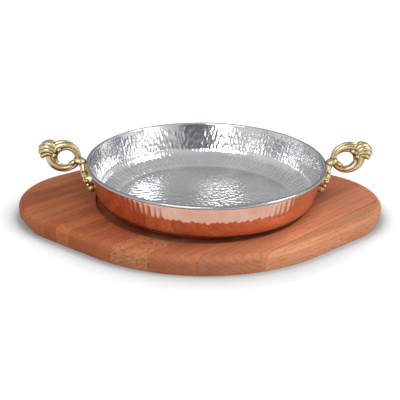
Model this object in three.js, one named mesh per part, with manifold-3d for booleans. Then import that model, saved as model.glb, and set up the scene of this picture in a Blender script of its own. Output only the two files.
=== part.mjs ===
// A hammered copper serving pan with two cast brass handles, standing in the recess of its own
// wooden board. Millimetres, +Z up. The origin is the middle of the board's underside, and the
// handles and the board's long side lie along X.

import * as THREE from 'three';
import { mergeVertices } from 'three/addons/utils/BufferGeometryUtils.js';
import Module from 'manifold-3d';

const wasm = await Module();
wasm.setup();

// Fits
const touchGap = 0.3; // between pieces that bear on each other
const overrun = 2; // how far a cutting solid runs past what it cuts
const roundSteps = 72; // facets round the pan and the recess
const fineSteps = 12; // facets round small round things
const smallSteps = 10; // facets round legs
const beadSteps = 6;
const mendTolerance = 0.04; // slivers thinner than this are taken out after joins and cuts

// Pan
const rimDiameter = 242;
const panHeight = 45;
const sheet = 1.2;
const rimRollDiameter = 3.6;
const wallFootDiameter = 222.6; // where the wall and the sloping band under it would meet
const wallFootHeight = 10.5;
const wallFootRound = 8; // how far the rounding between them runs each way
const panFloorDiameter = 184;
const panShift = 4.6; // the pan stands this far off the middle of the board, toward +X

// Board
const boardLength = 372;
const boardWidth = 275;
const boardThickness = 18;
const boardTipRadius = 75;
const boardSideShare = 0.4234; // 0 keeps the longest straight runs beside the tips, 1 keeps none
const boardTopRound = 6;
const boardFootRound = 1.5;
const recessDiameter = 216;
const recessDepth = 4;
const recessLip = 1;
const fingerCoveReach = 26; // how far each finger cove runs in from the tip, under the board
const fingerCoveRise = 7; // how high it cuts into the tip
const glueLine = 0.3;
const grainAngle = THREE.MathUtils.degToRad(43); // the staves run askew to the long side
const seamShares = [-0.865, -0.63, -0.4, -0.166, 0.166, 0.278, 0.371, 0.642, 0.828];

// Handle loop, seen square on: a ring that is thickest where its ends are knotted together
const loopReach = 23.3; // from the middle of the rolled rim to the middle of the loop
const loopRise = 2.9; // of the loop's middle over the middle of the rolled rim
const loopHalfLength = 13.3;
const loopHalfHeight = 12.1;
const strandThickness = 12.4;
const strandWidth = 10;
const strandTaperShare = 0.47; // how much thinner the loop is beside the pan
const strandCrownShare = 0.13; // how much thicker it is on top, and thinner below
const fluteCount = 5;
const fluteDepthShare = 0.2;
const fluteTurns = 0.6;

// Knot of the loop: rings that fan out from the finger hole over the corner where the loop's two
// ends cross
const knotFootReach = 6; // from the middle of the loop outward to where the fan starts
const knotFootRise = 5.3;
const knotTilt = THREE.MathUtils.degToRad(14); // how steeply the fan rises outward
const knotFan = THREE.MathUtils.degToRad(8); // between one ring and the next
const knotRings = 4;
const knotPitch = 2; // between the rings where the fan starts
const knotLength = 20.5;
const knotWidth = 12.6;
const knotSaddle = 4.4; // how far each ring arches up on both faces
const knotBarrelShare = 0.12; // how much smaller the first and last ring are
const knotRingRadius = 2.5;
const knotCoreHeight = 13.2;
const knotGroove = 1.5; // from the rings' crests down to the body inside them
const scrollRadius = 2.2;
const scrollReaches = [4.5, 9.8]; // from the middle of the loop outward
const scrollRises = [9, 3.2];

// Leaf: a swelling where the lower strand leaves the pan
const leafReach = -7.4; // from the middle of the loop outward
const leafRise = -6.2;
const leafLength = 11;
const leafWidth = 6;
const leafThickness = 5;
const leafTilt = THREE.MathUtils.degToRad(-30);

// Handle foot: a bow against the rim, and two legs that part below it to a riveted pad each
const bowLength = 14.5;
const bowWidth = 11;
const bowHeight = 8.4;
const bowTilt = THREE.MathUtils.degToRad(25);
const bowReach = -15.2; // from the middle of the loop, toward the pan
const bowRise = -4.4;
const legReach = 7.2; // greatest distance from the wall to the middle of a leg
const legRadius = 3.5;
const legSideShares = [0, 0.42, 0.8, 1.02, 1.08];
const legHeightShares = [1.43, 1.1, 1.08, 0.88, 0.67]; // of the rivets' height
const legReachShares = [0.95, 1, 0.86, 0.62, 0.52];
const legSwellShares = [1.1, 0.95, 1, 0.95, 0.9];
const tailLength = 9.5;
const padFootRadius = 6.4;
const padTopRadius = 5.8;
const padThickness = 6.6;
const beadRadius = 1.7;
const beadCount = 7;
const beadRingRadius = 6;
const beadLift = 5.5; // of the beads' middles over the wall

// Rivets: one through each pad
const rivetRadius = 1.8;
const rivetHeadRadius = 3.1;
const rivetHeadHeight = 1.9;
const rivetInnerRadius = 5;
const rivetInnerHeight = 0.8;
const rivetSpread = 15; // sideways from the handle's middle
const rivetHeight = 28.5;

// Places worked out from the sizes above
const rollRadius = rimRollDiameter / 2;
const rollCentreRadius = rimDiameter / 2 - rollRadius;
const rollCentreHeight = panHeight - rollRadius;
const footRadius = wallFootDiameter / 2;
const wallRun = rollCentreRadius - rollRadius + sheet - footRadius;
const wallRise = rollCentreHeight - wallFootHeight;
const wallTilt = Math.atan2(wallRun, wallRise);
const loopCentre = new THREE.Vector2(rollCentreRadius + loopReach, rollCentreHeight + loopRise);
const panBase = boardThickness - recessDepth + touchGap;

// Radius of the wall's outer face at a height over the pan's underside.
function wallRadius(height) {
  return footRadius + (height - wallFootHeight) * Math.tan(wallTilt);
}

// Booleans

// A closed geometry as a solid, with its faces turned outwards.
function solid(geometry) {
  const bare = geometry.clone();
  bare.deleteAttribute('normal');
  bare.deleteAttribute('uv');
  const merged = mergeVertices(bare);
  const vertProperties = new Float32Array(merged.attributes.position.array);
  const triVerts = new Uint32Array(merged.index.array);
  if (signedVolume(vertProperties, triVerts) < 0) {
    for (let i = 0; i < triVerts.length; i += 3) {
      [triVerts[i], triVerts[i + 1]] = [triVerts[i + 1], triVerts[i]];
    }
  }
  return new wasm.Manifold(new wasm.Mesh({ numProp: 3, vertProperties, triVerts }));
}

function signedVolume(points, triangles) {
  const corner = (i) => new THREE.Vector3().fromArray(points, 3 * triangles[i]);
  let volume = 0;
  for (let i = 0; i < triangles.length; i += 3) {
    volume += corner(i).dot(corner(i + 1).cross(corner(i + 2))) / 6;
  }
  return volume;
}

function geometryOf(body) {
  const mesh = body.getMesh();
  const geometry = new THREE.BufferGeometry();
  geometry.setAttribute('position', new THREE.BufferAttribute(mesh.vertProperties, 3));
  geometry.setIndex(new THREE.BufferAttribute(mesh.triVerts, 1));
  geometry.computeVertexNormals();
  return geometry;
}

function joined(bodies) {
  return bodies.reduce((whole, body) => whole.add(body));
}

// Shapes

// A profile of [radius, height] points, revolved round Z.
function revolved(profile, steps = roundSteps) {
  const points = profile.map(([radius, height]) => new THREE.Vector2(radius, height));
  return new THREE.LatheGeometry(points, steps).rotateX(Math.PI / 2);
}

// Points of an arc about a centre, both ends included.
function arc([x, y], radius, start, end, steps) {
  return Array.from({ length: steps + 1 }, (_, i) => {
    const angle = start + ((end - start) * i) / steps;
    return [x + radius * Math.cos(angle), y + radius * Math.sin(angle)];
  });
}

// Rings of points joined by quads, with the first and last ring closed by a fan, or joined.
function skinned(rings, ringsClose = false) {
  const sides = rings[0].length;
  const positions = rings.flat().flatMap((point) => point.toArray());
  const index = [];
  const spans = ringsClose ? rings.length : rings.length - 1;
  for (let i = 0; i < spans; i++) {
    const here = i * sides;
    const next = ((i + 1) % rings.length) * sides;
    for (let j = 0; j < sides; j++) {
      const k = (j + 1) % sides;
      index.push(here + j, here + k, next + k, here + j, next + k, next + j);
    }
  }
  if (!ringsClose) {
    addFan(positions, index, rings[0], 0, true);
    addFan(positions, index, rings.at(-1), (rings.length - 1) * sides, false);
  }
  const geometry = new THREE.BufferGeometry();
  geometry.setAttribute('position', new THREE.Float32BufferAttribute(positions, 3));
  geometry.setIndex(index);
  return geometry;
}

function addFan(positions, index, ring, first, turned) {
  const middle = ring.reduce((sum, point) => sum.add(point), new THREE.Vector3());
  const hub = positions.length / 3;
  positions.push(...middle.divideScalar(ring.length).toArray());
  for (let j = 0; j < ring.length; j++) {
    const a = first + j;
    const b = first + ((j + 1) % ring.length);
    index.push(hub, turned ? b : a, turned ? a : b);
  }
}

// A section carried along a curve. The section gives [sideways, in plane] at a share of the
// curve and an angle round it.
function swept(curve, steps, sides, section, closed = false) {
  const frames = curve.computeFrenetFrames(steps, closed);
  const rings = [];
  for (let i = 0; i < (closed ? steps : steps + 1); i++) {
    const centre = curve.getPointAt(i / steps);
    const ring = [];
    for (let j = 0; j < sides; j++) {
      const [side, inPlane] = section(i / steps, (2 * Math.PI * j) / sides, centre);
      ring.push(
        centre
          .clone()
          .addScaledVector(frames.normals[i], side)
          .addScaledVector(frames.binormals[i], inPlane),
      );
    }
    rings.push(ring);
  }
  return skinned(rings, closed);
}

function ellipsoid([x, y, z], halfX, halfY, halfZ) {
  return new THREE.SphereGeometry(1, smallSteps, smallSteps / 2)
    .scale(halfX, halfY, halfZ)
    .translate(x, y, z);
}

function ball([x, y, z], radius) {
  return new THREE.SphereGeometry(radius, beadSteps, beadSteps / 2 + 1).translate(x, y, z);
}

// Pan

// Outer outline of the pan from the middle of its underside up to the rolled rim, moved out by
// a margin. With a negative margin it is the inner face of the sheet.
function panSide(margin) {
  const floorEdge = new THREE.Vector2(panFloorDiameter / 2, 0);
  const corner = new THREE.Vector2(footRadius, wallFootHeight);
  const wallTop = new THREE.Vector2(wallRadius(rollCentreHeight), rollCentreHeight);
  const away = (end) => end.clone().sub(corner).setLength(wallFootRound).add(corner);
  const rounding = new THREE.QuadraticBezierCurve(away(floorEdge), corner, away(wallTop));
  const along = [new THREE.Vector2(0, 0), floorEdge, ...rounding.getPoints(3), wallTop];
  return along.map((point, i) => {
    const before = along[Math.max(i - 1, 0)];
    const after = along[Math.min(i + 1, along.length - 1)];
    const run = after.clone().sub(before).normalize();
    const radius = i === 0 ? 0 : point.x + run.y * margin;
    return [radius, point.y - run.x * margin];
  });
}

// The sheet rises up the wall and rolls outwards over itself, which leaves an open slit below.
function panProfile() {
  const centre = [rollCentreRadius, rollCentreHeight];
  const rollStart = Math.PI - wallTilt;
  const rollEnd = THREE.MathUtils.degToRad(-100);
  const outside = panSide(0);
  const inside = panSide(-sheet);
  outside.pop();
  inside.pop();
  return [
    ...outside,
    ...arc(centre, rollRadius - sheet, rollStart, rollEnd, 4),
    ...arc(centre, rollRadius, rollEnd, rollStart, 8),
    ...inside.reverse(),
  ];
}

// The space that the pan takes, grown by a margin: what is fastened to the pan is cut by this.
function panEnvelope(margin) {
  const centre = [rollCentreRadius, rollCentreHeight];
  const roll = arc(centre, rollRadius + margin, -Math.PI / 2, Math.PI / 2, 8);
  const underRoll = rollCentreHeight - rollRadius - margin;
  const side = panSide(margin);
  side[side.length - 1] = [wallRadius(underRoll) + margin / Math.cos(wallTilt), underRoll];
  return solid(revolved([...side, ...roll, [0, panHeight + margin]]));
}

function panBody(rivetCuts) {
  return solid(revolved(panProfile())).subtract(joined(rivetCuts));
}

// Handle

class LoopCurve extends THREE.Curve {
  getPoint(share, target = new THREE.Vector3()) {
    return target.copy(loopPoint(2 * Math.PI * share));
  }
}

// A point on the loop's middle line, by its angle from straight out, counted upwards.
function loopPoint(angle) {
  const x = loopCentre.x + loopHalfLength * Math.cos(angle);
  const z = loopCentre.y + loopHalfHeight * Math.sin(angle);
  return new THREE.Vector3(x, 0, z);
}

function loopRing() {
  const section = (share, angle, centre) => {
    const turn = Math.atan2(centre.z - loopCentre.y, centre.x - loopCentre.x);
    const crown = strandCrownShare * Math.sin(turn);
    const taper = 1 - (strandTaperShare * (1 - Math.cos(turn))) / 2 + crown;
    const flute = Math.cos(fluteCount * (angle - fluteTurns * turn));
    const swell = taper * (1 - fluteDepthShare * (0.5 - flute / 2));
    const side = (strandWidth / 2) * swell * Math.cos(angle);
    return [side, (strandThickness / 2) * swell * Math.sin(angle)];
  };
  return solid(swept(new LoopCurve(), 24, 4 * fluteCount, section, true));
}

// A geometry made about the origin, tilted in the loop's plane and moved off the loop's middle.
function onLoop(geometry, tilt, reach, rise) {
  return geometry.rotateY(-tilt).translate(loopCentre.x + reach, 0, loopCentre.y + rise);
}

// Rings round one body, as turns of a cord look side by side.
function knot() {
  const halfLength = knotLength / 2;
  const core = ellipsoid(
    [0, 0, 0],
    halfLength - knotGroove,
    knotWidth / 2 - knotGroove,
    knotCoreHeight / 2,
  );
  const bodies = [onKnot(core, 0, halfLength)];
  const middle = (knotRings - 1) / 2;
  for (let i = 0; i < knotRings; i++) {
    const size = 1 - knotBarrelShare * ((i - middle) / middle) ** 2;
    bodies.push(onKnot(knotRing(size), i - middle, size * halfLength));
  }
  return joined(bodies);
}

// A part of the knot, so many rings up from the fan's middle and so far out from its foot.
function onKnot(geometry, step, out) {
  const tilt = knotTilt + step * knotFan;
  const reach = knotFootReach - step * knotPitch * Math.sin(knotTilt) + out * Math.cos(tilt);
  const rise = knotFootRise + step * knotPitch * Math.cos(knotTilt) + out * Math.sin(tilt);
  return solid(onLoop(geometry, tilt, reach, rise));
}

// One ring of the knot: its ends dip and its two sides arch up.
function knotRing(size) {
  const halfLength = (size * knotLength) / 2 - knotRingRadius;
  const halfWidth = (size * knotWidth) / 2 - knotRingRadius;
  const points = [];
  for (let i = 0; i < fineSteps; i++) {
    const turn = (2 * Math.PI * i) / fineSteps;
    const rise = (-knotSaddle / 2) * Math.cos(2 * turn);
    points.push(new THREE.Vector3(halfLength * Math.cos(turn), halfWidth * Math.sin(turn), rise));
  }
  const section = (share, angle) => [
    knotRingRadius * Math.cos(angle),
    knotRingRadius * Math.sin(angle),
  ];
  const line = new THREE.CatmullRomCurve3(points, true);
  return swept(line, 2 * smallSteps, beadSteps, section, true);
}

// Small round scrolls where the turns end beside the finger hole, on both faces.
function scrolls() {
  const bodies = [];
  scrollReaches.forEach((reach, i) => {
    for (const face of [-1, 1]) {
      const scroll = ball([0, (face * strandWidth) / 2, 0], scrollRadius);
      bodies.push(solid(onLoop(scroll, 0, reach, scrollRises[i])));
    }
  });
  return joined(bodies);
}

function leaf() {
  const shape = ellipsoid([0, 0, 0], leafLength / 2, leafWidth / 2, leafThickness / 2);
  return solid(onLoop(shape, leafTilt, leafReach, leafRise));
}

// A point that stands off the wall, by its place sideways, its height and its reach.
function offWall(sideways, height, reach) {
  const bearing = sideways / wallRadius(height);
  const radius = wallRadius(height) + reach;
  return new THREE.Vector3(radius * Math.cos(bearing), radius * Math.sin(bearing), height);
}

function leg(face) {
  const points = legSideShares.map((share, i) => {
    const height = legHeightShares[i] * rivetHeight;
    return offWall(face * share * rivetSpread, height, legReach * legReachShares[i]);
  });
  const section = (share, angle) => {
    const place = share * (legSwellShares.length - 1);
    const i = Math.min(Math.floor(place), legSwellShares.length - 2);
    const swell = THREE.MathUtils.lerp(legSwellShares[i], legSwellShares[i + 1], place - i);
    return [legRadius * swell * Math.cos(angle), legRadius * swell * Math.sin(angle)];
  };
  const end = points.at(-1);
  const tail = ellipsoid([end.x, end.y, end.z], legRadius, legRadius, tailLength / 2);
  const limb = swept(new THREE.CatmullRomCurve3(points), smallSteps, smallSteps, section);
  return joined([solid(limb), solid(tail)]);
}

// The round pad under a rivet's head, ringed with beads.
function pad(face) {
  const depth = padThickness + sheet;
  const disc = new THREE.CylinderGeometry(padTopRadius, padFootRadius, depth, 2 * beadCount);
  disc.translate(0, touchGap + padThickness - depth / 2, 0);
  const bodies = [solid(onWall(disc, face * rivetSpread, rivetHeight))];
  for (let i = 0; i < beadCount; i++) {
    const angle = (2 * Math.PI * i) / beadCount;
    const across = beadRingRadius * Math.cos(angle);
    const along = beadRingRadius * Math.sin(angle);
    const bead = ball([across, beadLift, along], beadRadius);
    bodies.push(solid(onWall(bead, face * rivetSpread, rivetHeight)));
  }
  return joined(bodies);
}

function bow() {
  const shape = ellipsoid([0, 0, 0], bowLength / 2, bowWidth / 2, bowHeight / 2);
  return solid(onLoop(shape, bowTilt, bowReach, bowRise));
}

function handleBody(rivetCuts) {
  const feet = [-1, 1].flatMap((face) => [leg(face), pad(face)]);
  const whole = joined([loopRing(), knot(), scrolls(), leaf(), bow(), ...feet]);
  const cut = whole.subtract(panEnvelope(touchGap)).subtract(joined(rivetCuts));
  return cut.simplify(mendTolerance);
}

// Rivets

// Turns a geometry made about +Y, with the wall's outer face at zero, to stand on the wall.
function onWall(geometry, sideways, height) {
  const radius = wallRadius(height);
  const bearing = Math.asin(sideways / radius);
  return geometry
    .rotateZ(-Math.PI / 2 - wallTilt)
    .translate(radius, 0, 0)
    .rotateX(Math.PI / 2)
    .rotateZ(bearing)
    .translate(0, 0, height);
}

// The dome outside, the shank through pad and wall, and the flattened head inside the pan.
function rivetGeometry(face) {
  const seat = padThickness + 2 * touchGap;
  const inside = -sheet - touchGap;
  const dome = new THREE.QuadraticBezierCurve(
    new THREE.Vector2(rivetHeadRadius, seat),
    new THREE.Vector2(rivetHeadRadius, seat + rivetHeadHeight),
    new THREE.Vector2(0, seat + rivetHeadHeight),
  );
  const points = [
    new THREE.Vector2(0, inside - rivetInnerHeight),
    new THREE.Vector2(rivetInnerRadius - rivetInnerHeight, inside - rivetInnerHeight),
    new THREE.Vector2(rivetInnerRadius, inside),
    new THREE.Vector2(rivetRadius, inside),
    new THREE.Vector2(rivetRadius, seat),
    ...dome.getPoints(4),
  ];
  return onWall(new THREE.LatheGeometry(points, fineSteps), face * rivetSpread, rivetHeight);
}

// What a rivet's shank takes from the wall and the pad.
function rivetHole(face) {
  const radius = rivetRadius + touchGap;
  const length = padThickness + sheet + 2 * overrun;
  const shaft = new THREE.CylinderGeometry(radius, radius, length, fineSteps);
  shaft.translate(0, length / 2 - sheet - overrun, 0);
  return solid(onWall(shaft, face * rivetSpread, rivetHeight));
}

// Room over the pad for a rivet's head.
function rivetHeadRoom(face) {
  const radius = rivetHeadRadius + touchGap;
  const room = new THREE.CylinderGeometry(radius, radius, legReach, fineSteps);
  room.translate(0, padThickness + touchGap + legReach / 2, 0);
  return solid(onWall(room, face * rivetSpread, rivetHeight));
}

// Board

const tipCentre = boardLength / 2 - boardTipRadius;
const halfWidth = boardWidth / 2;
// With this radius a side's arc would touch the tips' arcs, with no straight run between them.
const widestSideRadius =
  (tipCentre ** 2 + halfWidth ** 2 - boardTipRadius ** 2) / (2 * (halfWidth - boardTipRadius));
const boardSideRadius = halfWidth + boardSideShare * (widestSideRadius - halfWidth);
const sideCentre = halfWidth - boardSideRadius;
// The straight run between a side and a tip touches both of their circles at this angle.
const runAngle =
  Math.atan2(-sideCentre, tipCentre) +
  Math.acos((boardSideRadius - boardTipRadius) / Math.hypot(tipCentre, sideCentre));

// The board's outline, drawn in by an inset. Its arcs keep their centres.
function boardOutline(inset) {
  const side = (turn) =>
    arc([0, 0], boardSideRadius - inset, runAngle, Math.PI - runAngle, 14).map(([x, y]) => [
      turn * x,
      turn * (y + sideCentre),
    ]);
  const tip = (turn) =>
    arc([0, 0], boardTipRadius - inset, -runAngle, runAngle, 14).map(([x, y]) => [
      turn * (x + tipCentre),
      turn * y,
    ]);
  return [...tip(1), ...side(1), ...tip(-1), ...side(-1)];
}

function boardBlank() {
  const levels = [
    [boardFootRound, 0],
    [0, boardFootRound],
    ...arc([boardTopRound, boardThickness - boardTopRound], boardTopRound, Math.PI, Math.PI / 2, 4),
  ];
  return solid(
    skinned(
      levels.map(([inset, height]) =>
        boardOutline(inset).map(([x, y]) => new THREE.Vector3(x, y, height)),
      ),
    ),
  );
}

function recess() {
  const radius = recessDiameter / 2;
  const floor = boardThickness - recessDepth;
  return solid(
    revolved([
      [0, floor],
      [radius, floor],
      [radius, boardThickness - recessLip],
      [radius + recessLip, boardThickness],
      [radius + recessLip, boardThickness + overrun],
      [0, boardThickness + overrun],
    ]),
  );
}

// A shallow scoop under each tip, so that fingers get under the board. It is part of a large
// cylinder that meets the underside at fingerCoveReach and is fingerCoveRise high at the tip.
function fingerCove(end) {
  const radius = (fingerCoveReach ** 2 + fingerCoveRise ** 2) / (2 * fingerCoveRise);
  const length = boardWidth;
  const scoop = new THREE.CylinderGeometry(radius, radius, length, roundSteps);
  return solid(scoop.translate((end * boardLength) / 2, 0, fingerCoveRise - radius));
}

// Distance from the board's middle to its farthest edge, square to the grain.
const seamSpread = tipCentre * Math.sin(grainAngle) + boardTipRadius;

function stave(blank, from, to) {
  const width = to - from;
  const slab = new THREE.BoxGeometry(2 * boardLength, width, 2 * boardThickness)
    .translate(0, from + width / 2, boardThickness / 2)
    .rotateZ(grainAngle);
  return blank.intersect(solid(slab));
}

function staves() {
  const blank = boardBlank().subtract(recess()).subtract(fingerCove(1)).subtract(fingerCove(-1));
  const seams = seamShares.map((share) => share * seamSpread);
  const starts = [-seamSpread - overrun, ...seams.map((seam) => seam + glueLine / 2)];
  const ends = [...seams.map((seam) => seam - glueLine / 2), seamSpread + overrun];
  return starts.map((start, i) => stave(blank, start, ends[i]));
}

// Materials

function copper() {
  return new THREE.MeshStandardMaterial({ color: 0xc4683f, metalness: 1, roughness: 0.28 });
}

function brass() {
  return new THREE.MeshStandardMaterial({ color: 0xcbb878, metalness: 1, roughness: 0.3 });
}

function wood(tone) {
  const color = new THREE.Color(0x9c5836).lerp(new THREE.Color(0xd69a72), tone);
  return new THREE.MeshStandardMaterial({ color, metalness: 0, roughness: 0.6 });
}

const staveToneShares = [0.9, 0.3, 0.45, 0.55, 0.35, 0.5, 0.15, 0.4, 0.2, 0.45];

// Assembly

function named(name, geometry, material) {
  const mesh = new THREE.Mesh(geometry, material);
  mesh.name = name;
  return mesh;
}

function handleGroup(side, turn) {
  const group = new THREE.Group();
  const cuts = [-1, 1].flatMap((face) => [rivetHole(face), rivetHeadRoom(face)]);
  group.add(named(`${side}_handle`, geometryOf(handleBody(cuts)), brass()));
  for (const face of [-1, 1]) {
    const place = face * Math.cos(turn) < 0 ? 'front' : 'back';
    group.add(named(`${side}_${place}_rivet`, rivetGeometry(face), copper()));
  }
  group.rotation.z = turn;
  return group;
}

function pan() {
  const group = new THREE.Group();
  const holes = [-1, 1].map(rivetHole);
  const opposite = holes.map((hole) => hole.rotate([0, 0, 180]));
  group.add(named('pan_body', geometryOf(panBody([...holes, ...opposite])), copper()));
  group.add(handleGroup('right', 0), handleGroup('left', Math.PI));
  group.position.set(panShift, 0, panBase);
  return group;
}

function board() {
  const group = new THREE.Group();
  staves().forEach((body, i) => {
    group.add(named(`board_stave_${i + 1}`, geometryOf(body), wood(staveToneShares[i])));
  });
  return group;
}

const servingPan = new THREE.Group();
servingPan.name = 'serving_pan_on_board';
servingPan.add(board(), pan());

export default servingPan;
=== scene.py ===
import bmesh
import bpy
import math
import numpy as np
from mathutils import Matrix, Vector

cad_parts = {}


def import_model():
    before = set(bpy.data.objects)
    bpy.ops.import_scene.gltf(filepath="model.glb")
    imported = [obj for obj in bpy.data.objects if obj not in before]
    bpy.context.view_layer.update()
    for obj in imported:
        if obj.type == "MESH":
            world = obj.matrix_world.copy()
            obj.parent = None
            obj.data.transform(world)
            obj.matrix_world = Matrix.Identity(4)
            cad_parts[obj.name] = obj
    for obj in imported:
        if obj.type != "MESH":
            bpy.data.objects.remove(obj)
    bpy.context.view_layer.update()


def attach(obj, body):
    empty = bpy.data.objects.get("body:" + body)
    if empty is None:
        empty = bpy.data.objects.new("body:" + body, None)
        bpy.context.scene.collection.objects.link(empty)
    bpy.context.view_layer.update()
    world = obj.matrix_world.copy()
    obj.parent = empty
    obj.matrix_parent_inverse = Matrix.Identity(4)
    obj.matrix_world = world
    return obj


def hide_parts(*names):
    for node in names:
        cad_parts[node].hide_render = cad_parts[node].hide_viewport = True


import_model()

MM = 0.001
TAU = 2 * math.pi

# Sizes in millimetres, as in the part's source
GAP = 0.3
RIM_RADIUS = 121.0
PAN_HEIGHT = 45.0
SHEET = 1.2
ROLL = 1.8
FOOT_RADIUS = 111.3
FOOT_HEIGHT = 10.5
FOOT_ROUND = 8.0
FLOOR_RADIUS = 92.0
PAN_X = 4.6
BOARD_LENGTH = 372.0
BOARD_WIDTH = 275.0
BOARD_THICK = 18.0
SIDE_RADIUS = 166.0
TIP_RADIUS = 75.0
TOP_ROUND = 6.0
FOOT_EDGE = 1.5
RECESS_RADIUS = 108.0
RECESS_DEPTH = 4.0
RECESS_LIP = 1.0
COVE_REACH = 26.0
COVE_RISE = 7.0
GRAIN = math.radians(43)
# Where the seams between the staves lie, as shares of the board's half width across the grain
SEAMS = [-0.865, -0.63, -0.4, -0.166, 0.166, 0.278, 0.371, 0.642, 0.828]

ROLL_X = RIM_RADIUS - ROLL
ROLL_Z = PAN_HEIGHT - ROLL
TILT = math.atan2(ROLL_X - ROLL + SHEET - FOOT_RADIUS, ROLL_Z - FOOT_HEIGHT)
PAN_Z = BOARD_THICK - RECESS_DEPTH + GAP
PAN_PLACE = np.array([PAN_X, 0, PAN_Z])


def wall_radius(height):
    return FOOT_RADIUS + (height - FOOT_HEIGHT) * math.tan(TILT)


# Mesh helpers

SMOOTH_ANGLE = math.radians(32)


def new_object(name, points, faces):
    """A mesh object from points in millimetres."""
    mesh = bpy.data.meshes.new(name)
    mesh.from_pydata((np.asarray(points, float) * MM).tolist(), [], faces)
    obj = bpy.data.objects.new(name, mesh)
    bpy.context.scene.collection.objects.link(obj)
    return obj


def piece(name, part, body, materials, face_slots=None):
    """A visible piece of the pan, smooth but for its sharp edges."""
    obj = new_object(name, *part)
    obj.data.validate()
    for material in materials:
        obj.data.materials.append(material)
    if face_slots is not None:
        obj.data.polygons.foreach_set("material_index", np.asarray(face_slots, np.int32))
    smooth(obj)
    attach(obj, body)
    return obj


def smooth(obj):
    bm = bmesh.new()
    bm.from_mesh(obj.data)
    bmesh.ops.recalc_face_normals(bm, faces=bm.faces)
    for face in bm.faces:
        face.smooth = True
    for edge in bm.edges:
        edge.smooth = len(edge.link_faces) == 2 and edge.calc_face_angle() < SMOOTH_ANGLE
    bm.to_mesh(obj.data)
    bm.free()


def grid_faces(rows, columns, closed_rows=False):
    """Quads between rings of points, each ring closed on itself."""
    i = np.arange(rows if closed_rows else rows - 1)[:, None]
    j = np.arange(columns)[None]
    a, b = i * columns, ((i + 1) % rows) * columns
    k = (j + 1) % columns
    return np.stack([a + j, a + k, b + k, b + j], -1).reshape(-1, 4).tolist()


def swept(centres, sides, ups, sections, closed=False):
    """Rings of points [sideways, up] carried along a line. Open ends get a fan."""
    rows, columns = sections.shape[:2]
    rings = (
        centres[:, None]
        + sections[..., :1] * sides[:, None]
        + sections[..., 1:] * ups[:, None]
    )
    points = rings.reshape(-1, 3).tolist()
    faces = grid_faces(rows, columns, closed)
    if not closed:
        for row, turned_over in ((0, True), (rows - 1, False)):
            points.append(rings[row].mean(0).tolist())
            hub = len(points) - 1
            for j in range(columns):
                a, b = row * columns + j, row * columns + (j + 1) % columns
                faces.append([hub, b, a] if turned_over else [hub, a, b])
    return points, faces


def stacked(heights, rings):
    """Rings of points [x, y] one over the other, with a fan at each end."""
    count = len(heights)
    centres = np.array([[0, 0, height] for height in heights])
    return swept(centres, np.tile([1.0, 0, 0], (count, 1)), np.tile([0, 1.0, 0], (count, 1)), rings)


def lathe(profile, steps):
    """A profile of (radius, height) points turned round Z."""
    phi = np.linspace(0, TAU, steps, endpoint=False)
    rings = [[(r * math.cos(a), r * math.sin(a)) for a in phi] for r, _ in profile]
    return stacked([height for _, height in profile], np.array(rings))


def circle(radius, steps, copies):
    """The same ring of points [x, y] a number of times."""
    phi = np.linspace(0, TAU, steps, endpoint=False)
    ring = np.stack([radius * np.cos(phi), radius * np.sin(phi)], -1)
    return ring[None] * np.ones((copies, 1, 1))


def ball(centre, halves, steps=28):
    theta = np.linspace(0, math.pi, steps // 2 + 1)[1:-1, None]
    phi = np.linspace(0, TAU, steps, endpoint=False)[None]
    x = np.sin(theta) * np.cos(phi)
    y = np.sin(theta) * np.sin(phi)
    z = np.cos(theta) + 0 * phi
    shell = np.stack([x, y, z], -1).reshape(-1, 3)
    rows = steps // 2 - 1
    points = np.vstack([shell, [0, 0, 1], [0, 0, -1]]) * np.asarray(halves, float)
    faces = grid_faces(rows, steps)
    last = (rows - 1) * steps
    for j in range(steps):
        k = (j + 1) % steps
        faces.append([rows * steps, k, j])
        faces.append([rows * steps + 1, last + j, last + k])
    return (points + np.asarray(centre, float)).tolist(), faces


def join(parts):
    points, faces = [], []
    for some_points, some_faces in parts:
        first = len(points)
        points.extend(some_points)
        faces.extend([[first + i for i in face] for face in some_faces])
    return points, faces


def placed(part, matrix):
    points, faces = part
    moved = np.asarray(points, float) @ np.asarray(matrix, float)[:3, :3].T
    return (moved + np.asarray(matrix, float)[:3, 3]).tolist(), faces


def path_length(points):
    return np.concatenate([[0], np.cumsum(np.hypot(*np.diff(points, axis=0).T))])


def resample(points, step):
    points = np.asarray(points, float)
    length = path_length(points)
    count = max(2, int(round(length[-1] / step)) + 1)
    at = np.linspace(0, length[-1], count)
    return np.stack([np.interp(at, length, points[:, 0]), np.interp(at, length, points[:, 1])], -1)


def directions(line):
    """The unit vector along a line at each of its points."""
    run = np.gradient(line, axis=0)
    return run / np.maximum(np.linalg.norm(run, axis=1)[:, None], 1e-9)


def fade(values, start, end):
    t = np.clip((values - start) / (end - start), 0, 1)
    return t * t * (3 - 2 * t)


# Hammer marks: bowls that meet in ridges outside, bulges that meet in creases inside

# Each kind of blow: how far apart its rows are along the profile and its blows round the pan, and
# the radius of its face across, row by row, and along, all in millimetres. Then the seed of its
# random draws, its greatest slope, and how far it strays along the profile as a share of a row
OUTER_WALL = dict(
    row_step=17.4,
    across=5.2,
    curve_across=[60, 60, 18],
    curve_along=140,
    seed=11,
    tilt=0.012,
    stray=0.045,
    even=True,
)
OUTER_COVE = dict(
    row_step=9.4, across=5.3, curve_across=[16], curve_along=50, seed=12, tilt=0.03, stray=0.06
)
INNER_WALL = dict(
    row_step=7.0, across=3.9, curve_across=[14], curve_along=60, seed=21, tilt=0.04, stray=0.08
)
INNER_COVE = dict(
    row_step=9.5, across=6.4, curve_across=[7.5], curve_along=30, seed=22, tilt=0.03, stray=0.05
)
PAN_FLOOR = dict(
    row_step=4.0, across=7.0, curve_across=[20], curve_along=7, seed=31, tilt=0.05, stray=0.1
)
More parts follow.
